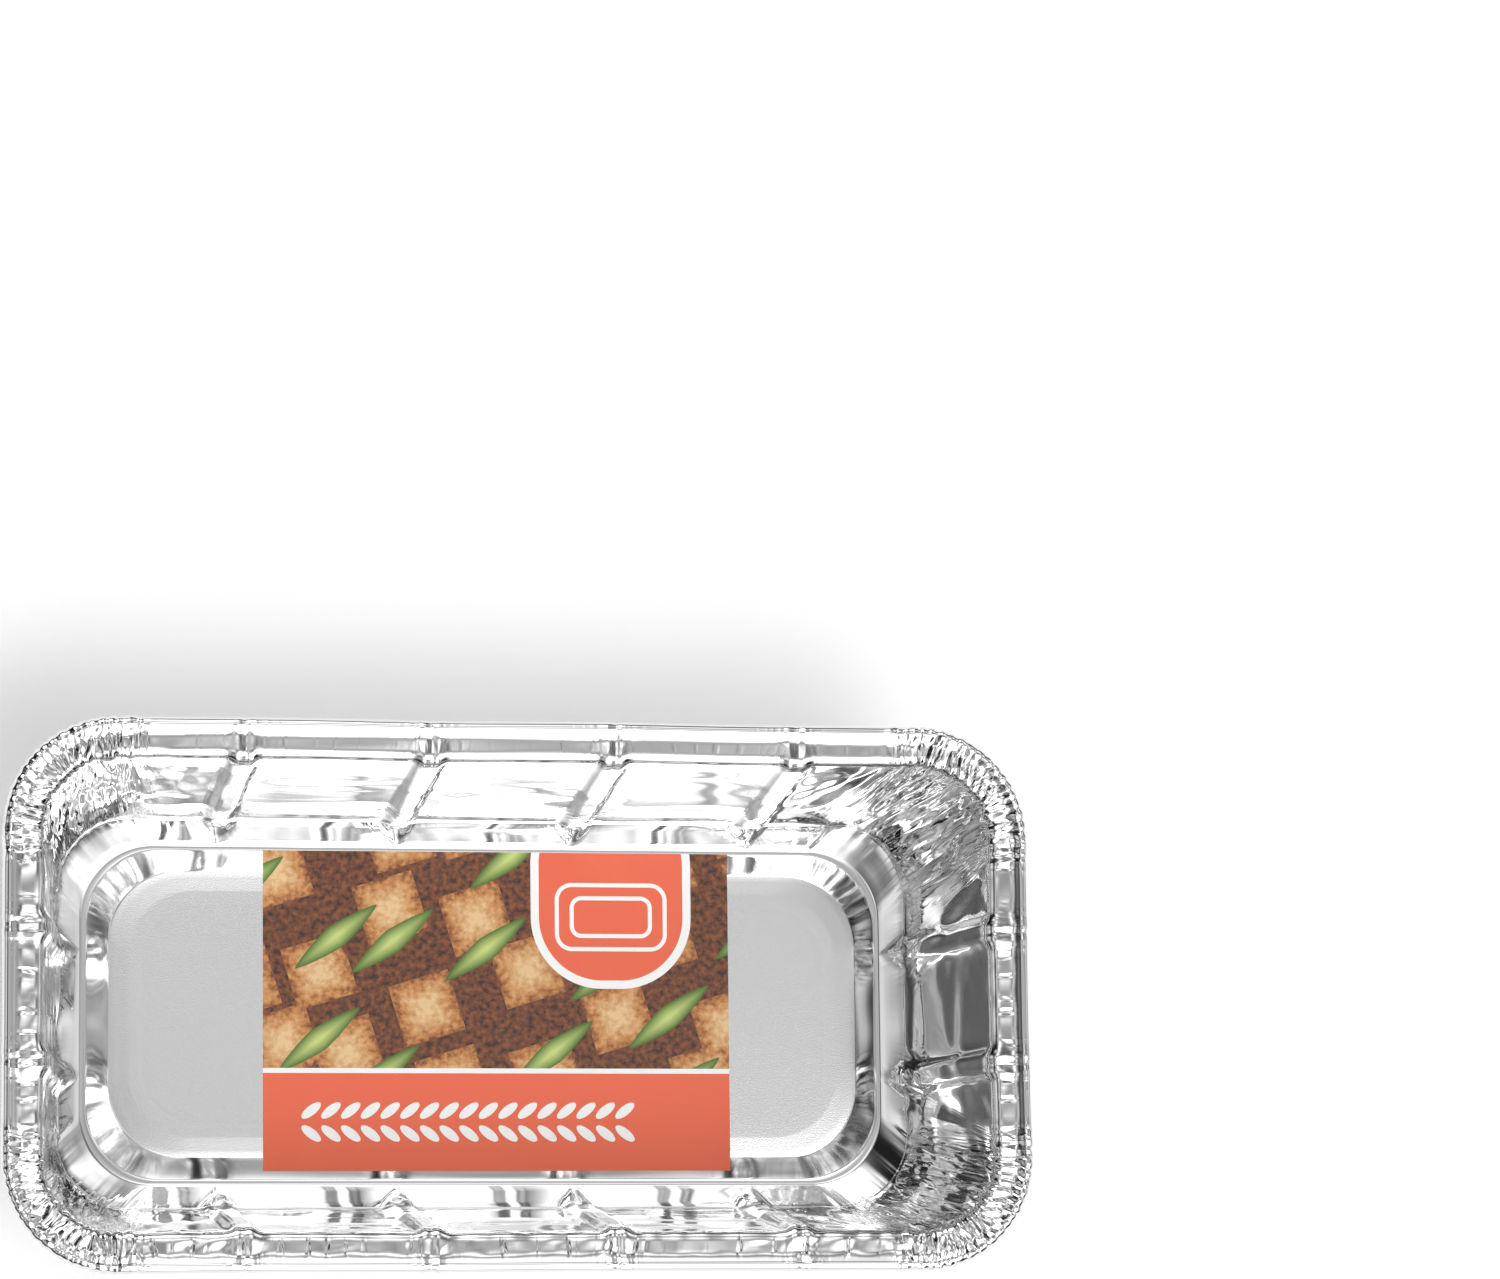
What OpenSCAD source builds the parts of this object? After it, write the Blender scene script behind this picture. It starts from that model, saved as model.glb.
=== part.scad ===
// A pressed foil loaf pan: one thin sheet with a stepped floor, sloping ribbed walls,
// gathered corners and a rolled rim. A loose paper label lies on its floor.
// Sizes are in millimetres. The pan stands on z = 0 and is centred on x and y.

/* [Pan] */
// Length over the rolled rim
pan_l = 264; // [240:1:330]
// Width over the rolled rim
pan_w = 140; // [126:1:190]
// Height from the table to the top of the rim
pan_h = 67; // [40:1:90]
// Thickness of the foil
foil_t = 0.1; // [0.06:0.01:0.3]

/* [Rim] */
// Corner radius at the outside of the rim
rim_r = 29; // [24:0.5:36]
// Diameter of the rolled bead at the edge
bead_d = 3.6; // [2.8:0.1:4.6]
// Width of the rise from the ledge up to the bead
neck_w = 0.8; // [0.5:0.1:1.6]
// Width of the flat ledge that a lid lies on
ledge_w = 3.7; // [2.5:0.1:6]
// Depth of the ledge below the top of the bead
ledge_drop = 0.9; // [0.6:0.1:1.2]
// Radius of the lip where the ledge turns down into the wall
lip_r = 2.2; // [1.2:0.1:3.5]

/* [Wall] */
// How far the wall leans in from the lip to its foot
wall_lean = 8.6; // [5:0.2:13]
// Height of the crease at the foot of the wall
foot_h = 4.2; // [3:0.1:7]
// Corner radius at the foot of the wall
foot_r = 19; // [14:0.5:24]

/* [Floor] */
// Width of the slope from the foot down to the standing ring
heel_w = 6.3; // [4:0.1:9]
// Width of the flat ring that the pan stands on
ring_w = 1.6; // [1:0.1:4]
// Width of the first slope up towards the panel
step_w = 5.6; // [4:0.1:8]
// Height of the crease between the two slopes
step_h = 1.9; // [1:0.1:2.6]
// Width of the second slope
edge_w = 5.2; // [3:0.1:7]
// Height of the raised panel in the middle
panel_h = 2.8; // [2.7:0.1:4]
// Corner radius of the standing ring and the first slope
ring_r = 19; // [14:0.5:22]
// Corner radius of the raised panel
panel_r = 17; // [10:0.5:20]

/* [Ribs] */
// Ribs in each long wall
long_ribs = 4; // [1:1:5]
// Distance between the ribs of a long wall
long_pitch = 47.4; // [30:0.2:52]
// Ribs in each end wall
end_ribs = 2; // [1:1:2]
// Distance between the ribs of an end wall
end_pitch = 33.8; // [20:0.2:38]
// Width of a rib over its foot
rib_w = 9; // [6:0.5:12]
// Width of a rib over its crest
crest_w = 4; // [2:0.5:5]
// How far a rib stands into the pan
rib_depth = 1.6; // [0.6:0.1:2.4]

/* [Corner folds] */
// Folds gathered in each corner
folds = 10; // [6:1:12]
// Depth of a fold from crest to hollow
fold_depth = 1; // [0.3:0.1:1.4]

/* [Label] */
// Length of the paper label
label_l = 124; // [80:1:150]
// Width of the paper label
label_w = 84; // [50:1:86]
// Thickness of the paper
label_t = 0.25; // [0.1:0.05:0.5]
// How far the label lies to the right of the middle
label_x = 3; // [-10:0.5:10]
// How far the label lies behind the middle
label_y = 1; // [-4:0.5:4]

/* [Hidden] */

// Insets from the outside of the rim, measured square to the side
ledge_in = bead_d + neck_w;
lip_in = ledge_in + ledge_w;
wall_in = lip_in + lip_r;
foot_in = wall_in + wall_lean;
ring_out_in = foot_in + heel_w;
ring_in = ring_out_in + ring_w;
step_in = ring_in + step_w;
panel_in = step_in + edge_w;

// Heights of the underside of the foil
ledge_z = pan_h - ledge_drop - foil_t;
wall_z = ledge_z - lip_r;

// The roll of the bead, from the neck over the top, round and back up inside
roll_r = bead_d / 2 - foil_t;
roll_start = 135;
roll_step = 45;
roll_steps = 8;
// Part of the radius that the roll loses over its whole turn
roll_tightening = 0.25;

function lerp(a, b, t) = a + (b - a) * t;

// One level of the section is [inset, height, corner radius, fold share, rib share].
// The shares say how much of the fold depth and of the rib depth the foil has there.
function wall_level(t, fold, rib) =
    [lerp(foot_in, wall_in, t), lerp(foot_h, wall_z, t), lerp(foot_r, rim_r - wall_in, t), fold, rib];

function roll_level(k) =
    let (
        a = roll_start - roll_step * k,
        turned = max(0, k - 3) / (roll_steps - 3),
        r = roll_r * (1 - roll_tightening * turned),
        inset = bead_d / 2 - r * cos(a)
    )
    [inset, pan_h - bead_d / 2 + r * sin(a), rim_r - inset, 0.3 * (1 - turned), 0];

levels = [
    [panel_in, panel_h, panel_r, 0, 0],
    [step_in, step_h, ring_r, 0, 0],
    [ring_in, 0, ring_r, 0, 0],
    [ring_out_in, 0, ring_r, 0, 0],
    wall_level(0, 0.2, 0.5),
    wall_level(0.3, 0.7, 1),
    wall_level(0.7, 1, 1),
    wall_level(1, 0.9, 0.9),
    [
        wall_in - lip_r * (1 - cos(45)), wall_z + lip_r * sin(45),
        rim_r - wall_in + lip_r * (1 - cos(45)), 0.75, 0.4
    ],
    [lip_in, ledge_z, rim_r - lip_in, 0.5, 0],
    [ledge_in, ledge_z, rim_r - ledge_in, 0.45, 0],
    for (k = [0 : roll_steps]) roll_level(k)
];
last_level = len(levels) - 1;
foot_level = 4;

// Unit vector square to the section between levels i and i + 1, on the food side
function side_of(i) =
    let (
        run = levels[i][0] - levels[i + 1][0],
        rise = levels[i + 1][1] - levels[i][1]
    )
    [-rise, run] / norm([run, rise]);

// Mitred normal at level i: moving every level by it gives a parallel section
function mitre(i) =
    let (
        a = i == 0 ? [0, 1] : side_of(i - 1),
        b = i == last_level ? a : side_of(i)
    )
    (a + b) / (1 + a * b);
mitres = [for (i = [0 : last_level]) mitre(i)];

// A station is a place round the pan: [side, place along it in mm, share of the corner, bend].
// Sides count anticlockwise from the right-hand end; the corner after a side has its number.
// bend is [fold, rib]: 1 or -1 on a fold's crest or hollow, and 1 on a rib's crest.
function rib_stations(side, count, pitch) = [
    for (k = [0 : count - 1], s = [-rib_w, -crest_w, crest_w, rib_w])
        [side, (k - (count - 1) / 2) * pitch + s / 2, 0, [0, abs(s) == crest_w ? 1 : 0]]
];

function corner_stations(side) = [
    for (k = [0 : 2 * folds])
        [side, undef, k / (2 * folds), [k == 0 || k == 2 * folds ? 0 : k % 2 == 1 ? 1 : -1, 0]]
];

stations = [
    for (side = [0 : 3])
        for (s = concat(
            side % 2 == 0 ? rib_stations(side, end_ribs, end_pitch) : rib_stations(side, long_ribs, long_pitch),
            corner_stations(side)
        )) s
];
count = len(stations);

// Half the size of the outline square to a side, and half the straight run along it
function half_across(i, side) = (side % 2 == 0 ? pan_l : pan_w) / 2 - levels[i][0];
function half_along(i, side) = (side % 2 == 0 ? pan_w : pan_l) / 2 - levels[i][0] - levels[i][2];

// On the floor the stations of a side close up, so that they stay on its straight run
function squeeze(i, side) =
    i >= foot_level ? 1 : half_along(i, side) / half_along(foot_level, side);

// Point of a station at level i, with the foil moved by lift along its own normal
function foil_point(i, s, lift) =
    let (
        side = s[0],
        corner = is_undef(s[1]),
        a = 90 * side + 90 * s[2],
        out = [cos(a), sin(a)],
        across = [cos(90 * side), sin(90 * side)],
        along = [-across[1], across[0]],
        r = levels[i][2],
        foot = corner
            ? across * (half_across(i, side) - r) + along * half_along(i, side) + out * r
            : across * half_across(i, side) + along * s[1] * squeeze(i, side),
        bend = s[3][0] * levels[i][3] * fold_depth / 2 + s[3][1] * levels[i][4] * rib_depth,
        move = mitres[i] * (lift + bend)
    )
    [foot[0] + out[0] * move[0], foot[1] + out[1] * move[0], levels[i][1] + move[1]];

// Every level of the underside and of the food side, then the middle of the floor on each
foil_points = [
    for (lift = [0, foil_t], i = [0 : last_level], s = stations) foil_point(i, s, lift),
    for (lift = [0, foil_t]) [0, 0, panel_h + lift]
];

// Index of a point: layer 0 is the underside and 1 is the food side
function at(layer, i, j) = (layer * (last_level + 1) + i) * count + j % count;
function middle(layer) = 2 * (last_level + 1) * count + layer;

foil_faces = concat(
    [for (j = [0 : count - 1]) [middle(0), at(0, 0, j), at(0, 0, j + 1)]],
    [for (j = [0 : count - 1]) [middle(1), at(1, 0, j + 1), at(1, 0, j)]],
    [
        for (i = [0 : last_level - 1], j = [0 : count - 1])
            let (a = at(1, i, j), b = at(1, i, j + 1), c = at(1, i + 1, j + 1), d = at(1, i + 1, j))
            each [[a, b, c], [a, c, d]]
    ],
    [
        for (i = [0 : last_level - 1], j = [0 : count - 1])
            let (a = at(0, i, j), b = at(0, i, j + 1), c = at(0, i + 1, j + 1), d = at(0, i + 1, j))
            each [[a, c, b], [a, d, c]]
    ],
    [
        for (j = [0 : count - 1])
            let (a = at(1, last_level, j), b = at(1, last_level, j + 1))
            let (c = at(0, last_level, j + 1), d = at(0, last_level, j))
            each [[a, b, c], [a, c, d]]
    ]
);

// The whole pan is one sheet of foil
module pan() {
    color([0.80, 0.81, 0.82])
        polyhedron(points = foil_points, faces = foil_faces, convexity = 10);
}

// The label lies flat on the raised panel and overhangs its long edges
module label() {
    color([0.91, 0.39, 0.30])
        translate([label_x - label_l / 2, label_y - label_w / 2, panel_h + foil_t])
            cube([label_l, label_w, label_t]);
}

pan();
label();
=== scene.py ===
# %% [markdown]
# A foil loaf pan is one thin sheet of aluminium that a press has pushed into a mould. This lesson
# makes one in the order that the factory does: a flat blank, the press, the gathered corners and
# the rolled rim, and then a printed paper label laid inside.
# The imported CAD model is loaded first. It fixes the size and the place of everything below.

# %% The frame
import math

import bpy
import numpy as np
from mathutils import Matrix, Vector


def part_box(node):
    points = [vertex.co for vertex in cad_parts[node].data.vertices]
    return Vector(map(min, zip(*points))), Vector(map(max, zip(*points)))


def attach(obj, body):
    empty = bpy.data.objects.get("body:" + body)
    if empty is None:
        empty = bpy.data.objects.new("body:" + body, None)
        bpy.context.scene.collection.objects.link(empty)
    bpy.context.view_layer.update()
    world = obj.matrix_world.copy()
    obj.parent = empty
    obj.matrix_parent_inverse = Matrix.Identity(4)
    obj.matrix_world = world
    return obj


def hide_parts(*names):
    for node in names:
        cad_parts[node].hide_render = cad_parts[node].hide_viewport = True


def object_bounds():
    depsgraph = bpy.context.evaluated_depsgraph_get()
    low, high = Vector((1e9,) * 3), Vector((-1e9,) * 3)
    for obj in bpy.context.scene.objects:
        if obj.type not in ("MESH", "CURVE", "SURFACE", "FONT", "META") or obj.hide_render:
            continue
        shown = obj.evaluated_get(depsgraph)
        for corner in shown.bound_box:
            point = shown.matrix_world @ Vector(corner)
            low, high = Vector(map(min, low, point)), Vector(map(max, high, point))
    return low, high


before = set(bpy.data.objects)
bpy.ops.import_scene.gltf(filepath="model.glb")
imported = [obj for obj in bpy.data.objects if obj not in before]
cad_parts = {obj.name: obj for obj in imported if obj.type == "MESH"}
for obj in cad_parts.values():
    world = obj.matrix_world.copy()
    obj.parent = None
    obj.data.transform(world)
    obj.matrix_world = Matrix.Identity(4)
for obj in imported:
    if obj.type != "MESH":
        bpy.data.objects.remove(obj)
cad_low, cad_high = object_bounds()
MM = 0.001
print("CAD box in mm:", [round(v / MM, 1) for v in cad_high - cad_low])


def select_only(piece=None):
    """An operator acts on all that is selected, so each step starts by selecting its own piece."""
    if bpy.context.object and bpy.context.object.mode != "OBJECT":
        bpy.ops.object.mode_set(mode="OBJECT")
    bpy.ops.object.select_all(action="DESELECT")
    if piece:
        piece.select_set(True)
        bpy.context.view_layer.objects.active = piece


# %% [markdown]
# The section says most about a pan. It is a line drawn from the rolled bead over the lip, down the
# wall and across the floor to its middle, and it runs all the way round. It could be extruded along
# the rim as a path, but the corners have another radius at each height. So each point of the line
# holds three sizes: how far it lies in from the rim, its height, and the radius of the pan's
# corners there. Three shares come with them, which say how much of a rib, of a rim fold and of a
# corner crease the foil has at that height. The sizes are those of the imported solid, but for the
# step, which stands a little higher so that the band round the panel lies nearly level.

# %% The section of the pan, in millimetres
pan_l, pan_w, pan_h = 264.0, 140.0, 67.0
foil_t = 0.1
rim_r = 29.0
bead_d = 3.6
neck_w = 0.8
ledge_w = 3.7
ledge_drop = 0.9
lip_r = 2.2
wall_lean = 8.6
foot_h = 4.2
foot_r = 19.0
heel_w = 6.3
ring_w = 1.6
step_w = 5.6
step_h = 2.6
edge_w = 5.2
panel_h = 2.8
ring_r = 19.0
panel_r = 17.0
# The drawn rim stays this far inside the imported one, which leaves room for its dents
rim_slack = 0.25

ledge_in = bead_d + neck_w
lip_in = ledge_in + ledge_w
wall_in = lip_in + lip_r
foot_in = wall_in + wall_lean
ring_out_in = foot_in + heel_w
ring_in = ring_out_in + ring_w
step_in = ring_in + step_w
panel_in = step_in + edge_w
ledge_z = pan_h - ledge_drop - foil_t
wall_z = ledge_z - lip_r
roll_r = bead_d / 2 - foil_t


def roll_point(angle, turned):
    """A point of the roll. It tightens by a quarter as it turns under and back up inside."""
    r = roll_r * (1 - 0.25 * turned)
    inset = bead_d / 2 - r * math.cos(angle)
    return [inset, pan_h - bead_d / 2 + r * math.sin(angle), rim_r - inset]


def lip_point(angle):
    """A point of the lip, from the wall at angle 0 to the ledge at a right angle."""
    inset = wall_in - lip_r * (1 - math.cos(angle))
    return [inset, wall_z + lip_r * math.sin(angle), rim_r - inset]


def wall_point(t):
    """A point of the wall, from its foot at 0 to the lip at 1."""
    return [
        foot_in + (wall_in - foot_in) * t,
        foot_h + (wall_z - foot_h) * t,
        foot_r + (rim_r - wall_in - foot_r) * t,
    ]


# A knot is its point, the shares of rib, rim fold and crease, the length of its rounding and the
# number of points between it and the next knot
ROLL_FINE, ROLL_COARSE = 22.5, 45
knots = []
turn = 360.0
while turn >= 0:
    visible = turn <= 225
    knots.append((roll_point(math.radians(135 - turn), max(0, turn - 135) / 225), 0, 0.6, 0, 0, 0))
    turn -= ROLL_FINE if visible and turn > 0 else ROLL_COARSE
knots.append(([ledge_in, ledge_z, rim_r - ledge_in], 0.05, 0.9, 0, 0.5, 4))
knots.append(([lip_in, ledge_z, rim_r - lip_in], 0.15, 1.0, 0.15, 0, 0))
for degrees in (75, 60, 45, 30, 15):
    share = degrees / 90
    knots.append((lip_point(math.radians(degrees)), 0.85 - 0.75 * share, 0.9, 0.75 - 0.5 * share, 0, 0))
knots.append((wall_point(1.0), 0.9, 0.6, 0.85, 0, 3))
knots.append((wall_point(0.87), 1, 0.25, 1, 0, 11))
knots.append((wall_point(0.45), 1, 0, 1, 0, 11))
knots.append((wall_point(0.10), 0.9, 0, 0.8, 0, 2))
knots.append((wall_point(0.0), 0.55, 0, 0.2, 0.5, 3))
knots.append(([ring_out_in, 0, ring_r], 0, 0, 0.02, 0.4, 0))
knots.append(([ring_in, 0, ring_r], 0, 0, 0, 0.4, 3))
knots.append(([step_in, step_h, ring_r], 0, 0, 0, 0.3, 2))
knots.append(([panel_in, panel_h, panel_r], 0, 0, 0, 0.3, 1))
knots.append(([panel_in + 8, panel_h, panel_r - 6], 0, 0, 0, 0, 1))
knots.append(([panel_in + 27, panel_h, 3], 0, 0, 0, 0, 0))


def section_rows():
    """The knots and the points between them, with a small rounding at each pressed crease."""
    point = [np.array([*k[0], k[1], k[2], k[3]], float) for k in knots]
    rows = []
    for i, knot in enumerate(knots):
        rounding = knot[4]
        if rounding and 0 < i < len(knots) - 1:
            before, after = [
                point[i] + (point[j] - point[i]) * rounding / np.linalg.norm((point[j] - point[i])[:2])
                for j in (i - 1, i + 1)
            ]
            rows += [before, (before + 2 * point[i] + after) / 4, after]
        else:
            rows.append(point[i])
        if i < len(knots) - 1:
            start, end = rows[-1], point[i + 1]
            gap = np.linalg.norm((end - start)[:2])
            end = end + (start - end) * knots[i + 1][4] / gap
            rows += [start + (end - start) * (c + 1) / (knot[5] + 1) for c in range(knot[5])]
    return np.array(rows)


rows = section_rows()
inset, height, radius, rib_share, fold_share, crease_share = rows.T
steps = np.linalg.norm(np.diff(rows[:, :2], axis=0), axis=1)
depth = np.concatenate([[0], np.cumsum(steps)])
foot_row = int(np.argmin(np.abs(inset - foot_in) + np.abs(height - foot_h)))
print("section:", len(rows), "points over", round(depth[-1], 1), "mm")

# %% [markdown]
# The other way round, the foil is measured by stations along the rim. They stand close together
# where the foil is gathered, in the corners and beside them, and at each rib, and far apart on
# the plain stretches between. A station knows its side, its place along that side and, in a
# corner, how far round the corner it is. Sides count anticlockwise from the right-hand end.

# %% The stations round the rim
long_ribs, long_pitch = 4, 47.4
end_ribs, end_pitch = 2, 33.8
rib_w, crest_w, rib_depth = 9.0, 4.0, 1.6
RIB_MARGIN = 0.5
CORNER_STATIONS = 60
RIB_STATIONS = 10
# The gap between stations on the plain stretches of the right-hand, far, left-hand and near side
PLAIN_STEP = [2.0, 7.5, 2.0, 2.4]
GATHER_STEP = 1.0

half_l, half_w = pan_l / 2 - rim_slack, pan_w / 2 - rim_slack
foot_along = {0: pan_w / 2 - foot_in - foot_r, 1: pan_l / 2 - foot_in - foot_r}


def rib_centres(side):
    count, pitch = (end_ribs, end_pitch) if side % 2 == 0 else (long_ribs, long_pitch)
    return [(k - (count - 1) / 2) * pitch for k in range(count)]


def straight_places(side):
    """Places along a side at the wall's foot, from one corner to the next."""
    edges = [-foot_along[side % 2]]
    for centre in rib_centres(side):
        edges += [centre - rib_w / 2 - RIB_MARGIN, centre + rib_w / 2 + RIB_MARGIN]
    edges.append(foot_along[side % 2])
    places = []
    for k, (a, b) in enumerate(zip(edges, edges[1:])):
        step = GATHER_STEP if k in (0, len(edges) - 2) else PLAIN_STEP[side]
        cells = RIB_STATIONS if k % 2 else math.ceil((b - a) / step)
        places += list(np.linspace(a, b, cells, endpoint=False))
    return places + [edges[-1]]


stations = []
for side in range(4):
    stations += [(side, place, 0.0) for place in straight_places(side)]
    stations += [(side, foot_along[side % 2], k / CORNER_STATIONS) for k in range(1, CORNER_STATIONS)]
stations.append(stations[0])
side_of, place_of, turn_of = np.array(stations).T
side_of = side_of.astype(int)
print("stations:", len(stations) - 1)

# %% [markdown]
# The blank is a plain grid, with one column for each station and one row for each point of the
# section. Real foil starts flat too, though as one sheet. A box could be bevelled to the same form,
# but on a grid each crease knows where it runs. The left and right edges meet after pressing and
# are merged, and the hole in the middle of the floor is filled and poked to a fan.

# %% The flat blank
columns, levels = len(stations), len(rows)
select_only()
bpy.ops.mesh.primitive_grid_add(x_subdivisions=columns - 1, y_subdivisions=levels - 1, size=1)
foil = bpy.context.object
foil.name = "foil_pan"
foil.data.name = "foil_pan"
flat = np.zeros(len(foil.data.vertices) * 3)
foil.data.vertices.foreach_get("co", flat)
flat = flat.reshape(-1, 3)
column = np.rint((flat[:, 0] + 0.5) * (columns - 1)).astype(int)
level = np.rint((flat[:, 1] + 0.5) * (levels - 1)).astype(int)
print("blank:", len(flat), "vertices")

# %% [markdown]
# Pressing gives each vertex of the blank its place on the smooth pan. Foil has no stretch to
# speak of, so everything that isn't smooth comes after this as creases. The press also works out
# the direction square to the foil, because the creases are pushed along it.

# %% Press the blank
side, place, turn = side_of[column], place_of[column], turn_of[column]
v_inset, v_height, v_radius = inset[level], height[level], radius[level]
upright = side % 2
half_across = np.where(upright, half_w, half_l) - v_inset
half_along = np.where(upright, half_l, half_w) - v_inset - v_radius
full_along = np.where(upright, foot_along[1], foot_along[0])
outer_rib = np.where(upright, long_pitch * (long_ribs - 1) / 2, end_pitch * (end_ribs - 1) / 2)
last_rib = outer_rib + rib_w / 2 + RIB_MARGIN
beyond = np.clip((np.abs(place) - last_rib) / (full_along - last_rib), 0, 1)
spread = np.where(
    np.abs(place) > last_rib, last_rib + beyond * (half_along - last_rib), np.abs(place)
)
on_floor = level > foot_row
along_mm = np.sign(place) * np.where(on_floor, np.abs(place) * half_along / full_along, spread)
facing = np.radians(90 * side + 90 * turn)
out = np.stack([np.cos(facing), np.sin(facing)], 1)
across_dir = np.stack([np.cos(np.radians(90 * side)), np.sin(np.radians(90 * side))], 1)
along_dir = np.stack([-across_dir[:, 1], across_dir[:, 0]], 1)
in_corner = turn > 0
straight = across_dir * half_across[:, None] + along_dir * along_mm[:, None]
rounded = (
    across_dir * (half_across - v_radius)[:, None]
    + along_dir * half_along[:, None]
    + out * v_radius[:, None]
)
pressed = np.where(in_corner[:, None], rounded, straight)

slope = np.gradient(rows[:, :2], axis=0)
square = np.stack([slope[:, 1], slope[:, 0]], 1)
square /= np.linalg.norm(square, axis=1)[:, None]
lift_out, lift_up = square[level].T
print("pressed: half sizes at the rim", half_l, "and", half_w, "mm")

# %% [markdown]
# Creased foil is a field of small facets and pillows that meet in sharp lines. Three kinds of
# noise draw them: facets, which is straight between its lattice points and not smooth; pillows,
# the distance to the nearest of many scattered points, which gives round ridges between sharp
# valleys; and pleats, a row of ridges side by side. They are stretched along the creases and
# turned with them. All random values come from one seed, so that the pan is the same each time.

# %% Facets, pillows and pleats
dice = np.random.default_rng(20)


def facets(x, y, folded=True, period=None):
    """Noise from -1 to 1 on a lattice of whole numbers, straight along x if folded, smooth along y."""
    columns_of = int(period or 4096)
    lattice = dice.uniform(-1, 1, (columns_of, 256))
    xi, yi = np.floor(x).astype(int), np.floor(y).astype(int)
    fx, fy = x - xi, y - yi
    fx = fx if folded else fx * fx * (3 - 2 * fx)
    fy = fy * fy * (3 - 2 * fy)

    def at(i, j):
        return lattice[i % columns_of, j % 256]

    near = at(xi, yi) * (1 - fx) + at(xi + 1, yi) * fx
    far = at(xi, yi + 1) * (1 - fx) + at(xi + 1, yi + 1) * fx
    return near * (1 - fy) + far * fy


def pillows(x, y):
    """Pillows round scattered points, one to each lattice cell, about 0.4 high and 0 on average."""
    points = dice.uniform(0.1, 0.9, (2, 1024, 64))
    xi, yi = np.floor(x).astype(int), np.floor(y).astype(int)
    nearest = np.full(x.shape, 9.0)
    for i in (-1, 0, 1):
        for j in (-1, 0, 1):
            px, py = points[:, (xi + i) % 1024, (yi + j) % 64]
            nearest = np.minimum(nearest, (xi + i + px - x) ** 2 + (yi + j + py - y) ** 2)
    return 0.2 - nearest


def pleats(run, across, pitch):
    """Ridges side by side along the rim, with sharp valleys between them, -0.6 to 0.4 high."""
    cells = round(rim_length / pitch)
    sway = facets(run / rim_length * cells / 2, across / 4, folded=False, period=cells // 2)
    place_in_row = run / rim_length * cells + 0.6 * sway
    number = np.floor(place_in_row).astype(int)
    size = dice.uniform(0.45, 1.0, cells + 1)[number % cells]
    return size * (0.4 - (2 * (place_in_row - number) - 1) ** 2)


def fade(x, start, end):
    """0 before start and 1 after end, or the other way round where end comes first."""
    t = np.clip((x - start) / (end - start), 0, 1)
    return t * t * (3 - 2 * t)


def bump(x, width):
    return np.exp(-((x / width) ** 2))


# %% [markdown]
# Each vertex now gets the coordinates that foil creases follow: its way round the rim in
# millimetres, its height on the wall, and the fan coordinate. The fan's lines start close
# together at the top of a corner and spread as they run down and away over the flat wall.

# %% Where the creases run
lip_radius = rim_r - lip_in
corner_arc = lip_radius * math.pi / 2
side_run = np.where(upright, half_l, half_w) - lip_in - lip_radius
around = np.where(in_corner, side_run + turn * corner_arc, np.sign(place) * spread)
side_lengths = [2 * (half - lip_in - lip_radius) + corner_arc for half in (half_w, half_l)]
side_start = np.concatenate([[0], np.cumsum(side_lengths * 2)])
rim_length = side_start[4]
around = around + side_start[side] + side_run
from_corner = np.where(in_corner, 0.0, np.maximum(side_run - spread, 0))
FAN_SPREAD = 26.0
wall_up = np.clip((v_height - foot_h) / (wall_z - foot_h), 0, 1)
wall_height = wall_z - foot_h
fan = from_corner * (wall_height + FAN_SPREAD) / (wall_height * (1 - wall_up) + FAN_SPREAD)
next_corner = np.where(in_corner | (place > 0), side, side - 1) % 4
beside = np.where(place > 0, -1, 1) * (fan + corner_arc / 2)
to_right = np.where(in_corner, (turn - 0.5) * corner_arc, beside)
print("rim length:", round(rim_length), "mm; each corner's arc:", round(corner_arc, 1), "mm")

# %% [markdown]
# The creases in a corner's wall are the strongest of all, because there the foil has too much
# length for the shorter way round. They are long pillows that lie along the fan, with long folds
# under them. Their depth falls away over the flat walls beside the corner, where only a few long
# straight rays run on. A cloth simulation would give soft folds, and foil has sharp ones.

# %% Gather the corners
CREASE_PITCH = 2.4
CREASE_LENGTH = 19.0
PILLOW_DEPTH = 1.0
FOLD_PITCH, FOLD_LENGTH, FOLD_DEPTH = 4.4, 21, 0.6
RAY_PITCH, RAY_LENGTH, RAY_DEPTH = 6.5, 34, 0.55
DRIFT, DRIFT_PITCH, DRIFT_LENGTH = 1.6, 7, 12
# How far the creases and the rays reach past the corner, in mm along the rim
CREASE_REACH, FULL_CREASE, RAY_REACH = 27, 6, 70
# Each corner reads its noise this many cells away from the next corner, so that no two are alike
apart, apart_up = next_corner * 211, next_corner * 9
drift = DRIFT * facets(to_right / DRIFT_PITCH + apart, v_height / DRIFT_LENGTH, folded=False)
long_pillows = pillows((to_right + drift) / CREASE_PITCH + apart, v_height / CREASE_LENGTH + apart_up)
long_folds = facets((to_right - drift) / FOLD_PITCH + apart, v_height / FOLD_LENGTH + apart_up)
rays = facets(to_right / RAY_PITCH + apart, v_height / RAY_LENGTH + apart_up)
gathered = fade(np.abs(to_right), corner_arc / 2 + CREASE_REACH, corner_arc / 2 - FULL_CREASE)
ray_share = fade(np.abs(to_right), corner_arc / 2 + RAY_REACH, corner_arc / 2)
creases = crease_share[level] * (
    gathered * (PILLOW_DEPTH * long_pillows + FOLD_DEPTH * long_folds)
    + ray_share * RAY_DEPTH * rays
)
print("creases:", round(float(np.ptp(creases)), 2), "mm from valley to ridge at most")

# %% [markdown]
# The rim is gathered too. The ledge of each corner is a row of pleats, and the bead has finer ones.
# Between the corners the ledge keeps a string of soft swells, strong on three sides and hardly
# there on the fourth, as the foil was not held evenly.

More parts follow.
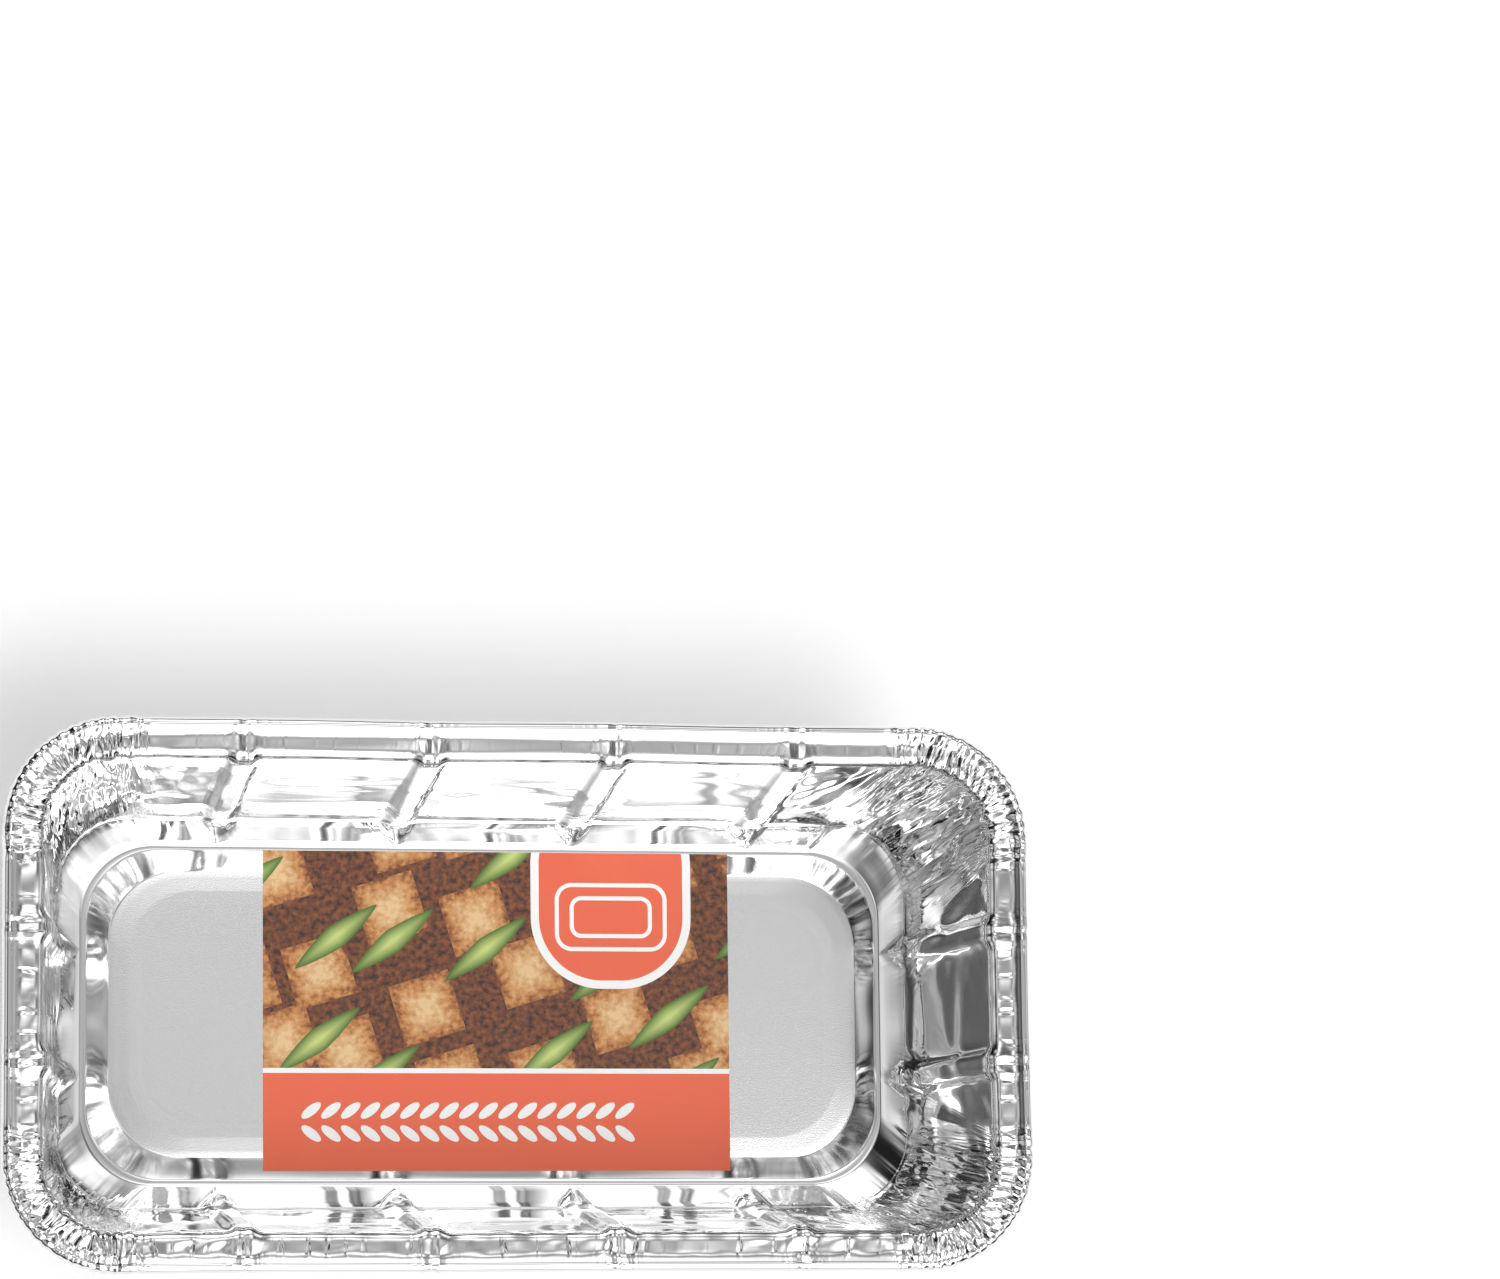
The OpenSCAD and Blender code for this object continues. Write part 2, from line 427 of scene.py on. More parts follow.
# %% Fold the rim
LEDGE_PLEAT, LEDGE_PLEAT_DEPTH = 2.6, 1.3
BEAD_PLEAT, BEAD_PLEAT_DEPTH = 2.0, 1.2
SWELL, SWELL_DEPTH = 9.0, 0.4
SAG_PITCH, SAG_DEPTH = 11, 0.14
# How strong the swells are on the right-hand, far, left-hand and near side
SWOLLEN = np.array([0.6, 0.15, 0.8, 1.0])
ledge_depth = depth[np.argmin(np.abs(inset - ledge_in) + np.abs(height - ledge_z))]
on_ledge = fade(depth[level], ledge_depth - 0.8, ledge_depth + 0.6)
rim_corner = fade(from_corner, 9.0, 5.0)
end_side = 1 - upright
sag_cells = round(rim_length / SAG_PITCH)
sag = facets(around / rim_length * sag_cells, depth[level] / SWELL, folded=False, period=sag_cells)
rim_folds = fold_share[level] * (
    rim_corner * on_ledge * LEDGE_PLEAT_DEPTH * pleats(around, depth[level], LEDGE_PLEAT)
    + rim_corner * (1 - on_ledge) * BEAD_PLEAT_DEPTH * pleats(around, depth[level], BEAD_PLEAT)
    + (1 - rim_corner) * SWOLLEN[side] * on_ledge * SWELL_DEPTH * pleats(around, depth[level], SWELL)
    + (1 - rim_corner) * on_ledge * SAG_DEPTH * sag
)
print("rim folds:", round(float(np.ptp(rim_folds)), 2), "mm from valley to ridge at most")

# %% [markdown]
# A rib is a shallow ridge pushed into the pan. Its crest is about 4 mm wide, it fades into a
# pointed facet on the heel below, and its top nudges the lip inwards. The foil pinches there,
# so a fine fold crosses the ledge and the bead in line with the rib. Where a rib of an end wall
# meets the foot, the foil is crumpled.

# %% Raise the ribs
PINCH_RIDGE, PINCH_RIDGE_W = 0.3, 2.5
PINCH_VALLEY, PINCH_VALLEY_W = 0.55, 1.0
PINCH_OFFSET = 0.3
CRUMPLE_DEPTH, CRUMPLE_MORE_AT_ENDS = 0.3, 0.9
CRUMPLE_W, CRUMPLE_H, CRUMPLE_UP = 6, 8, 12
CRUMPLE_PITCH, CRUMPLE_LENGTH = 3.4, 5
to_rib = np.full(len(place), 1e3)
for side_number in range(4):
    for centre in rib_centres(side_number):
        here = (side == side_number) & ~in_corner
        to_rib = np.where(here & (np.abs(along_mm - centre) < np.abs(to_rib)), along_mm - centre, to_rib)
on_wall = fade(v_inset, ring_out_in, foot_in)
heel_fade = fade(v_height, 0.4, foot_h)
rib_reach = rib_w / 2 * np.where(v_height < foot_h, heel_fade, 1) + 0.01
crest = np.clip((rib_reach - np.abs(to_rib)) / (rib_reach * (1 - crest_w / rib_w)), 0, 1)
ribs = rib_depth * rib_share[level] * crest
pinch = fold_share[level] * (
    PINCH_RIDGE * bump(to_rib, PINCH_RIDGE_W)
    - PINCH_VALLEY * bump(to_rib + PINCH_OFFSET, PINCH_VALLEY_W)
)
crumple = on_wall * (CRUMPLE_DEPTH + CRUMPLE_MORE_AT_ENDS * end_side)
crumple = crumple * bump(to_rib, CRUMPLE_W) * bump(v_height - CRUMPLE_UP, CRUMPLE_H)
ribs += crumple * pillows(along_mm / CRUMPLE_PITCH + side * 57, v_height / CRUMPLE_LENGTH)
print("ribs:", 2 * (long_ribs + end_ribs))

# %% [markdown]
# Handling leaves soft dents in such thin foil. They are broad and shallow on the walls, where
# they bend the reflections, and the foot of the wall wanders a little in and out. In the corners
# the heel keeps a few wide dents of the tool that gathered the foil. Smooth noise draws them all,
# since sculpting them by hand would give another pan each time.

# %% Soft dents
BROAD_PITCH, BROAD_H, BROAD_DEPTH = 26, 21, 0.45
BUCKLE_PITCH, BUCKLE_H, BUCKLE_DEPTH = 34, 6.5, 0.18
WANDER_PITCH, WANDER_H, WANDER_LONG, WANDER_END = 9, 60, 0.1, 0.5
HEEL_DENT, HEEL_DENT_H, HEEL_DENT_DEPTH = 11, 3, 0.3
SWAY_PITCH, SWAY_DEPTH = 40, 0.22
softness = fade(v_height, foot_h, foot_h + 8) * fade(v_height, pan_h + 1, wall_z - 6)
broad_cells = round(rim_length / BROAD_PITCH)
broad = facets(around / rim_length * broad_cells, v_height / BROAD_H, folded=False, period=broad_cells)
buckle_cells = round(rim_length / BUCKLE_PITCH)
buckles = facets(
    around / rim_length * buckle_cells, v_height / BUCKLE_H, folded=False, period=buckle_cells
)
soft = softness * (BROAD_DEPTH * broad + BUCKLE_DEPTH * buckles)
wander_cells = round(rim_length / WANDER_PITCH)
wander = facets(
    around / rim_length * wander_cells, v_height / WANDER_H, folded=False, period=wander_cells
)
foot_wander = on_wall * bump(v_height - foot_h, 2.2) * (WANDER_LONG + WANDER_END * end_side) * wander
on_heel = on_wall * fade(v_height, 0.2, 1.6) * fade(v_height, foot_h + 1, foot_h - 1)
heel_dents = on_heel * gathered * HEEL_DENT_DEPTH * pillows(
    to_right / HEEL_DENT + apart, v_height / HEEL_DENT_H
)
sway_cells = round(rim_length / SWAY_PITCH)
rim_sway = fade(v_height, 20, pan_h) * SWAY_DEPTH * facets(
    around / rim_length * sway_cells, v_height * 0 + 3, folded=False, period=sway_cells
)
print("soft dents:", round(float(np.ptp(soft)), 2), "mm deep at most")

# %% [markdown]
# All these are pushed along the direction square to the foil. The result is kept inside the CAD
# model's box. Then each vertex is painted with the numbers that the foil's material needs: where
# it is creased, where the satin panel is, and the two maps that its finest creases follow.

# %% Push the foil
push = creases + rim_folds + ribs + pinch + soft + foot_wander + heel_dents
shape = np.empty_like(flat)
shape[:, :2] = pressed + out * (push * lift_out + rim_sway)[:, None]
shape[:, 2] = v_height + push * lift_up
seam = column == columns - 1
twin = np.zeros((columns, levels), int)
twin[column, level] = np.arange(len(flat))
shape[seam] = shape[twin[0, level[seam]]]
low = np.array(cad_low) / MM + foil_t
high = np.array(cad_high) / MM - foil_t
shape = np.clip(shape, [low[0], low[1], 0], high)
foil.data.vertices.foreach_set("co", (shape * MM).ravel())
print("pushed by", round(float(np.abs(push).max()), 2), "mm at most")


def paint(name, values):
    """Stores a number or a vector for each vertex, which the material reads by its name."""
    kind, key = ("FLOAT", "value") if values.ndim == 1 else ("FLOAT_VECTOR", "vector")
    foil.data.attributes.new(name, kind, "POINT").data.foreach_set(key, values.astype(float).ravel())


FINE_CREASE_W, FINE_CREASE_L = 1.8, 15.0
FINE_PLEAT_W, FINE_PLEAT_L = 1.7, 5.0
wall_part = fade(v_height, wall_z + lip_r, wall_z - 1) * on_wall
rim_part = 1 - fade(v_height, wall_z + lip_r, wall_z - 1)
at_rib = bump(to_rib, 5)
paint("wall_creased", np.clip(wall_part * (gathered * crease_share[level] + crumple), 0, 1))
paint("rim_creased", np.clip(rim_part * (rim_corner + 0.35 * at_rib), 0, 1))
paint("wall_map", np.stack([to_right / FINE_CREASE_W, v_height / FINE_CREASE_L, next_corner * 7.0], 1))
paint("rim_map", np.stack([around / FINE_PLEAT_W, depth[level] / FINE_PLEAT_L, 0 * around], 1))
paint("panel", fade(v_inset, step_in - 0.3, step_in + 0.3))
paint("floor", fade(v_inset, ring_out_in - 0.3, ring_out_in + 0.3))
paint("notched", (1 - rim_corner) * SWOLLEN[side] * bump(depth[level] - ledge_depth - ledge_w / 2, 1.6))

# %% [markdown]
# Last come the seam, the middle of the floor and the thickness of the foil. Real foil is a tenth
# of a millimetre thick. Extruding along the normals would do, but Solidify does it in one step. It
# adds the thickness on the food side, and its rim closes the cut edge inside the roll.

# %% Close the sheet and thicken it
select_only(foil)
bpy.ops.object.mode_set(mode="EDIT")
bpy.ops.mesh.select_all(action="SELECT")
bpy.ops.mesh.remove_doubles(threshold=1e-6)
bpy.ops.mesh.select_all(action="DESELECT")
bpy.ops.object.mode_set(mode="OBJECT")
bpy.ops.object.mode_set(mode="EDIT")
bpy.ops.mesh.select_mode(type="VERT")
bpy.ops.mesh.select_non_manifold(extend=False)
bpy.ops.object.mode_set(mode="OBJECT")
for edge in foil.data.edges:
    ends = [foil.data.vertices[v] for v in edge.vertices]
    edge.select = edge.select and all(v.co.z < panel_h * 2 * MM for v in ends)
for vertex in foil.data.vertices:
    vertex.select = vertex.select and vertex.co.z < panel_h * 2 * MM
bpy.ops.object.mode_set(mode="EDIT")
bpy.ops.mesh.edge_face_add()
bpy.ops.mesh.select_mode(type="FACE")
bpy.ops.mesh.poke()
bpy.ops.object.mode_set(mode="OBJECT")
bpy.ops.object.shade_smooth()
thickness = foil.modifiers.new("gauge", "SOLIDIFY")
thickness.thickness = foil_t * MM
thickness.offset = 1
bpy.ops.object.modifier_apply(modifier=thickness.name)
print("foil pan:", sum(len(p.vertices) - 2 for p in foil.data.polygons), "triangles")

# %% [markdown]
# Materials are small trees of nodes. One helper adds a node with its settings and links, and one
# turns the usual hex colours into the linear values that Blender works with.

# %% Helpers for materials
def linear(hex_colour):
    """An sRGB hex colour as linear red, green and blue."""
    parts = [int(hex_colour[i:i + 2], 16) / 255 for i in (1, 3, 5)]
    return [p / 12.92 if p <= 0.04045 else ((p + 0.055) / 1.055) ** 2.4 for p in parts]


def add_node(tree, kind, inputs=None, **settings):
    """Adds a node. A value in inputs is set on its socket, and a socket is linked to it."""
    node = tree.nodes.new(kind)
    for name, value in settings.items():
        setattr(node, name, value)
    for name, value in (inputs or {}).items():
        if isinstance(value, bpy.types.NodeSocket):
            tree.links.new(value, node.inputs[name])
        else:
            node.inputs[name].default_value = value
    return node


def new_material(name):
    """A material whose tree holds only a Principled shader and the output."""
    material = bpy.data.materials.new(name)
    material.use_nodes = True
    tree = material.node_tree
    tree.nodes.clear()
    shader = add_node(tree, "ShaderNodeBsdfPrincipled")
    add_node(tree, "ShaderNodeOutputMaterial", {"Surface": shader.outputs["BSDF"]})
    return material, tree, shader


# %% [markdown]
# Household foil is rolled aluminium, bright on its rolled side. It reflects nine tenths of the
# light with hardly any tint. The walls are nearly a mirror, while the press has left the floor
# panel with a satin grain. So one material reads where the panel is and where the foil is creased.

# %% Bright rolled aluminium foil
foil_material, tree, shader = new_material("bright rolled aluminium foil")
shader.inputs["Base Color"].default_value = [*linear("#E8E8E8"), 1]
shader.inputs["Metallic"].default_value = 1.0
painted = {
    name: add_node(tree, "ShaderNodeAttribute", attribute_name=name).outputs
    for name in ("wall_creased", "rim_creased", "wall_map", "rim_map", "panel", "floor", "notched")
}
coordinates = add_node(tree, "ShaderNodeTexCoord").outputs["Object"]
WALL_ROUGHNESS, FLOOR_ROUGHNESS, PANEL_ROUGHNESS = 0.05, 0.10, 0.18
roughness = add_node(
    tree, "ShaderNodeMapRange",
    {"Value": painted["floor"]["Fac"], "To Min": WALL_ROUGHNESS, "To Max": FLOOR_ROUGHNESS},
).outputs["Result"]
roughness = add_node(
    tree, "ShaderNodeMapRange",
    {"Value": painted["panel"]["Fac"], "To Min": roughness, "To Max": PANEL_ROUGHNESS},
).outputs["Result"]
tree.links.new(roughness, shader.inputs["Roughness"])
print("the foil reads", ", ".join(painted))

# %% [markdown]
# The mesh holds the creases down to about 2 mm. The finest ones are bump, because they would take
# millions of faces: cells stretched along the fan of each corner and across the rim, the grain that
# the press leaves on the panel, and the short notches that cross the ledge between the corners.
# The grain of real foil is too fine to show at this distance, so it is drawn a few times coarser.

# %% The finest creases and the grain
GRAIN_MM = 0.35
grain = add_node(
    tree, "ShaderNodeTexNoise", {"Vector": coordinates, "Scale": 1 / (GRAIN_MM * MM), "Detail": 2.0}
).outputs["Fac"]
relief = add_node(
    tree, "ShaderNodeBump", {"Height": grain, "Strength": painted["panel"]["Fac"], "Distance": 0.02 * MM}
).outputs["Normal"]
for part, distance_mm in (("wall", 0.38), ("rim", 0.35)):
    wobble = add_node(
        tree, "ShaderNodeTexNoise", {"Vector": painted[part + "_map"]["Vector"], "Scale": 0.7, "Detail": 1.0}
    ).outputs["Color"]
    bent = add_node(
        tree, "ShaderNodeVectorMath",
        {0: wobble, 1: (1.6, 0.6, 0.0), 2: painted[part + "_map"]["Vector"]}, operation="MULTIPLY_ADD",
    ).outputs["Vector"]
    cells = add_node(tree, "ShaderNodeTexVoronoi", {"Vector": bent, "Scale": 1.0}).outputs["Distance"]
    relief = add_node(
        tree, "ShaderNodeBump",
        {
            "Height": cells, "Strength": painted[part + "_creased"]["Fac"],
            "Distance": distance_mm * MM, "Normal": relief,
        },
    ).outputs["Normal"]
NOTCH_PITCH, NOTCH_W, NOTCH_DEPTH = 5.5, 0.9, 0.42
notch_map = add_node(tree, "ShaderNodeSeparateXYZ", {"Vector": bent}).outputs["X"]
notch_map = add_node(
    tree, "ShaderNodeMath", {0: notch_map, 1: FINE_PLEAT_W / NOTCH_PITCH}, operation="MULTIPLY"
).outputs[0]
notches = add_node(
    tree, "ShaderNodeTexVoronoi", {"W": notch_map, "Scale": 1.0}, voronoi_dimensions="1D"
).outputs
notch = add_node(
    tree, "ShaderNodeMapRange", {"Value": notches["Distance"], "From Max": NOTCH_W / NOTCH_PITCH},
    interpolation_type="SMOOTHSTEP",
).outputs["Result"]
uneven = add_node(tree, "ShaderNodeSeparateColor", {"Color": notches["Color"]}).outputs["Red"]
uneven = add_node(tree, "ShaderNodeMath", {0: uneven, 1: 1.5}, operation="POWER").outputs[0]
uneven = add_node(
    tree, "ShaderNodeMath", {0: uneven, 1: painted["notched"]["Fac"]}, operation="MULTIPLY"
).outputs[0]
relief = add_node(
    tree, "ShaderNodeBump",
    {"Height": notch, "Strength": uneven, "Distance": NOTCH_DEPTH * MM, "Normal": relief},
).outputs["Normal"]
tree.links.new(relief, shader.inputs["Normal"])
foil.data.materials.append(foil_material)
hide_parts("pan")
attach(foil, "root")
print("foil material:", len(tree.nodes), "nodes")

# %% [markdown]
# The label is a stiff printed card that lies on the floor panel. Its CAD solid already has the
# right shape, so it only gets a print. The print is drawn with distances in millimetres from the
# card's middle: a coral band, a tab with an outline of a pan on it, and a plain pattern of golden
# squares and green leaves. Each shape is a mask, and the masks are laid over each other as inks.

# %% The card and its measures
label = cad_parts["label"]
label_material, tree, shader = new_material("coated printed card")
label_low, label_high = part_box("label")
card_l, card_w = [(high - low) / MM for low, high in zip(label_low[:2], label_high[:2])]
card_middle = [-(high + low) / 2 / MM for low, high in zip(label_low[:2], label_high[:2])]
coordinates = add_node(tree, "ShaderNodeTexCoord").outputs["Object"]
card_point = add_node(
    tree, "ShaderNodeVectorMath",
    {0: coordinates, 1: [1 / MM] * 3, 2: [*card_middle, 0]}, operation="MULTIPLY_ADD",
).outputs["Vector"]
print("card:", round(card_l), "x", round(card_w), "mm")


def rounded_box(centre, half_size, corner):
    """The distance in mm to a box with round corners on the card, negative inside it."""
    point = add_node(tree, "ShaderNodeVectorMath", {0: card_point, 1: [*centre, 0]}, operation="SUBTRACT")
    point = add_node(tree, "ShaderNodeVectorMath", {0: point.outputs["Vector"]}, operation="ABSOLUTE")
    core = [half - corner for half in half_size] + [1000]
    point = add_node(
        tree, "ShaderNodeVectorMath", {0: point.outputs["Vector"], 1: core}, operation="SUBTRACT"
    )
    point = add_node(
        tree, "ShaderNodeVectorMath", {0: point.outputs["Vector"], 1: [0, 0, 0]}, operation="MAXIMUM"
    )
    far = add_node(tree, "ShaderNodeVectorMath", {0: point.outputs["Vector"]}, operation="LENGTH")
    return add_node(
        tree, "ShaderNodeMath", {0: far.outputs["Value"], 1: corner}, operation="SUBTRACT"
    ).outputs[0]


# %% [markdown]
# The pattern comes from two Voronoi textures. One measures distance as a chessboard king walks,
# which turns its cells to squares. The other measures it halfway between a circle and a diamond and
# is stretched and turned, which gives slim pointed leaves. A noise toasts the squares and the
# ground under them. A picture could be laid on instead, but nodes stay sharp at any size.

# %% The printed pattern
SQUARE_MM, LEAF_MM, TOAST_MM = 23.0, 13.0, 1.6
toast = add_node(
    tree, "ShaderNodeTexNoise", {"Vector": card_point, "Scale": 1 / TOAST_MM, "Detail": 4.0}
).outputs["Fac"]
ground = add_node(tree, "ShaderNodeValToRGB", {"Fac": toast}).outputs["Color"]
ramp = ground.node.color_ramp
for stop, (place_on_ramp, hex_colour) in enumerate(((0.35, "#3A1D12"), (0.65, "#8A4E28"))):
    ramp.elements[stop].position = place_on_ramp
    ramp.elements[stop].color = [*linear(hex_colour), 1]
turned = add_node(
    tree, "ShaderNodeMapping", {"Vector": card_point, "Rotation": (0, 0, math.radians(-17))}
).outputs["Vector"]
squares = add_node(
    tree, "ShaderNodeTexVoronoi", {"Vector": turned, "Scale": 1 / SQUARE_MM, "Randomness": 0.55},
    voronoi_dimensions="2D", distance="CHEBYCHEV",
)
browned = add_node(
    tree, "ShaderNodeMath", {0: toast, 1: 0.5, 2: squares.outputs["Distance"]}, operation="MULTIPLY_ADD"
).outputs[0]
golden = add_node(tree, "ShaderNodeValToRGB", {"Fac": browned}).outputs["Color"]
ramp = golden.node.color_ramp
ramp.elements.new(0.5)
for stop, (place_on_ramp, hex_colour) in enumerate(((0.3, "#E9C491"), (0.52, "#C8874A"), (0.66, "#7A3D1E"))):
    ramp.elements[stop].position = place_on_ramp
    ramp.elements[stop].color = [*linear(hex_colour), 1]
on_square = add_node(
    tree, "ShaderNodeMath", {0: squares.outputs["Distance"], 1: 0.36}, operation="LESS_THAN"
).outputs[0]
slanted = add_node(
    tree, "ShaderNodeMapping",
    {"Vector": card_point, "Rotation": (0, 0, math.radians(38)), "Scale": (4.4, 1.0, 1.0)},
    vector_type="TEXTURE",
).outputs["Vector"]
leaves = add_node(
    tree, "ShaderNodeTexVoronoi",
    {"Vector": slanted, "Scale": 1 / LEAF_MM, "Randomness": 0.9, "Exponent": 1.3},
    voronoi_dimensions="2D", distance="MINKOWSKI",
)
on_leaf = add_node(
    tree, "ShaderNodeMath", {0: leaves.outputs["Distance"], 1: 0.24}, operation="LESS_THAN"
).outputs[0]
leaf_green = add_node(tree, "ShaderNodeValToRGB", {"Fac": leaves.outputs["Distance"]}).outputs["Color"]
ramp = leaf_green.node.color_ramp
for stop, (place_on_ramp, hex_colour) in enumerate(((0.03, "#C9D67E"), (0.24, "#3F6B1C"))):
    ramp.elements[stop].position = place_on_ramp
    ramp.elements[stop].color = [*linear(hex_colour), 1]
print("pattern: squares", SQUARE_MM, "mm and leaves", LEAF_MM, "mm apart")

# %% [markdown]
# The band, the tab and the outlines on them are flat inks. A row of slanted grains, mirrored about
# a line, runs along the band. All the shapes are masks of 0 and 1, mixed one over the other, as a
# printer lays inks. The thin coating gives the card a soft gloss, and the paper's fibres show as a
# faint bump. The foil doesn't mirror the card, because its walls are seen clean of that colour.

# %% The band, the tab and the finished print
BAND_MM, RULE_MM, BORDER_MM, LINE_MM = 25.6, 1.3, 2.2, 1.1
across = add_node(tree, "ShaderNodeSeparateXYZ", {"Vector": card_point}).outputs
on_rule = add_node(
    tree, "ShaderNodeMath", {0: across["Y"], 1: BAND_MM + RULE_MM - card_w / 2}, operation="LESS_THAN"
).outputs[0]
on_band = add_node(
    tree, "ShaderNodeMath", {0: across["Y"], 1: BAND_MM - card_w / 2}, operation="LESS_THAN"
).outputs[0]
tab_middle = (30.5, 32.0)
tab = rounded_box(tab_middle, (21.5, 26.0), 19.0)
on_border = add_node(tree, "ShaderNodeMath", {0: tab, 1: 0.0}, operation="LESS_THAN").outputs[0]
on_tab = add_node(tree, "ShaderNodeMath", {0: tab, 1: -BORDER_MM}, operation="LESS_THAN").outputs[0]
outlines = []
for half_size, corner in (((14.5, 8.5), 4.0), ((10.5, 5.0), 2.6)):
    edge = rounded_box((tab_middle[0], 25.0), half_size, corner)
    outlines.append(
        add_node(tree, "ShaderNodeMath", {0: edge, 1: 0.0, 2: LINE_MM / 2}, operation="COMPARE").outputs[0]
    )
GRAIN_PITCH, STEM_Y = 5.2, BAND_MM / 2 - card_w / 2
grain_x = add_node(
    tree, "ShaderNodeMath", {0: across["X"], 1: GRAIN_PITCH}, operation="FLOORED_MODULO"
).outputs[0]
grain_y = add_node(tree, "ShaderNodeMath", {0: across["Y"], 1: STEM_Y}, operation="SUBTRACT").outputs[0]
grain_y = add_node(tree, "ShaderNodeMath", {0: grain_y}, operation="ABSOLUTE").outputs[0]
grain_point = add_node(tree, "ShaderNodeCombineXYZ", {"X": grain_x, "Y": grain_y}).outputs["Vector"]
grain_point = add_node(
    tree, "ShaderNodeVectorMath", {0: grain_point, 1: (GRAIN_PITCH / 2, 3.0, 0)}, operation="SUBTRACT"
).outputs["Vector"]
grain_point = add_node(
    tree, "ShaderNodeMapping",
    {"Vector": grain_point, "Rotation": (0, 0, math.radians(38)), "Scale": (3.1, 1.25, 1)},
    vector_type="TEXTURE",
).outputs["Vector"]
grain_far = add_node(tree, "ShaderNodeVectorMath", {0: grain_point}, operation="LENGTH").outputs["Value"]
on_grain = add_node(tree, "ShaderNodeMath", {0: grain_far, 1: 1.0}, operation="LESS_THAN").outputs[0]
in_row = rounded_box((-1.5 * GRAIN_PITCH, STEM_Y), (8.5 * GRAIN_PITCH, 8.0), 0.1)
in_row = add_node(tree, "ShaderNodeMath", {0: in_row, 1: 0.0}, operation="LESS_THAN").outputs[0]
on_grain = add_node(tree, "ShaderNodeMath", {0: on_grain, 1: in_row}, operation="MULTIPLY").outputs[0]
coral, white = [*linear("#F06A48"), 1], [*linear("#FCFBF9"), 1]
inks = [
    (on_square, golden), (on_leaf, leaf_green), (on_rule, white), (on_band, coral),
    (on_grain, white), (on_border, white), (on_tab, coral), (outlines[0], white), (outlines[1], white),
]
print_colour = ground
for mask, ink in inks:
    print_colour = add_node(
        tree, "ShaderNodeMix", {"Factor": mask, "A": print_colour, "B": ink}, data_type="RGBA"
    ).outputs["Result"]
tree.links.new(print_colour, shader.inputs["Base Color"])
shader.inputs["Roughness"].default_value = 0.42
FIBRE_MM = 0.35
fibre = add_node(
    tree, "ShaderNodeTexNoise", {"Vector": card_point, "Scale": 1 / FIBRE_MM, "Detail": 2.0}
).outputs["Fac"]
fibre_bump = add_node(
    tree, "ShaderNodeBump", {"Height": fibre, "Strength": 0.3, "Distance": 0.02 * MM}
).outputs["Normal"]
tree.links.new(fibre_bump, shader.inputs["Normal"])
label.data.materials.clear()
label.data.materials.append(label_material)
label.visible_glossy = False
print("print:", len(inks), "inks over the ground")

# %% [markdown]
# The pan is a mirror, so its studio is part of its look. It stands on a white table. The table
# reaches the camera, and the foil that mirrors it, as plain white, and still keeps its shadow. A
# stronger lamp would do that too, but it would also wash out the card.

# %% The table
scene = bpy.context.scene
scene.view_settings.view_transform = "Standard"
TABLE_LIFT = 0.18
select_only()
bpy.ops.mesh.primitive_plane_add(size=8)
table = bpy.context.object
table.name = "studio_table"
table_material, tree, shader = new_material("white table")
shader.inputs["Base Color"].default_value = [*linear("#F2F2F2"), 1]
shader.inputs["Roughness"].default_value = 0.9
shader.inputs["Emission Color"].default_value = [1, 1, 1, 1]
light_path = add_node(tree, "ShaderNodeLightPath").outputs
seen = light_path["Is Camera Ray"]
for kind_of_ray in ("Is Glossy Ray", "Is Transmission Ray"):
    seen = add_node(tree, "ShaderNodeMath", {0: seen, 1: light_path[kind_of_ray]}, operation="ADD").outputs[0]
lift = add_node(tree, "ShaderNodeMath", {0: seen, 1: TABLE_LIFT}, operation="MULTIPLY").outputs[0]
tree.links.new(lift, shader.inputs["Emission Strength"])
table.data.materials.append(table_material)
print("table:", [round(v, 1) for v in table.dimensions[:2]], "m")

# %% [markdown]
# The light comes from soft panels in rings round the pan: low ones that give the rim its edges,
# middle ones for the sheen of the walls, and high ones for the table, the card and the floor of the
# pan. Between the panels it stays dark, and foil needs that dark to look like metal and not like
# paper. Area lamps could do this, but a panel here is a spot on the world's sphere that falls off
# smoothly, so its edges never show. A white backdrop closes the studio just above the table. The
# camera sees white wherever the table ends, and the foil mirrors the backdrop.

# %% The soft light panels
# A ring is its height over the table in degrees, how sharply its panels fall off, and the
# strength of each panel by its direction, in degrees from the pan's right-hand end
RINGS = [
    (14, 18, {180: 0.42}),
    (24, 35, {0: 0.91, 280: 1.95}),
    (33, 35, {98: 1.53}),
    (38, 40, {45: 1.39, 90: 1.62, 180: 0.42, 225: 0.43, 270: 1.61}),
    (42, 45, {20: 0.3, 100: 2.57, 180: 0.5, 220: 0.64, 300: 0.22, 340: 1.31}),
    (60, 40, {265: 0.62, 300: 5.52, 335: 2.45}),
    (60, 60, {270: 0.46, 315: 3.28}),
    (70, 60, {70: 1.12}),
    (74, 60, {315: 0.6}),
    (75, 80, {85: 0.82, 145: 0.44, 205: 1.01, 325: 0.75}),
]
world = bpy.data.worlds.new("ring of soft light panels")
scene.world = world
world.use_nodes = True
tree = world.node_tree
tree.nodes.clear()
direction = add_node(tree, "ShaderNodeTexCoord").outputs["Generated"]
total = 0.0
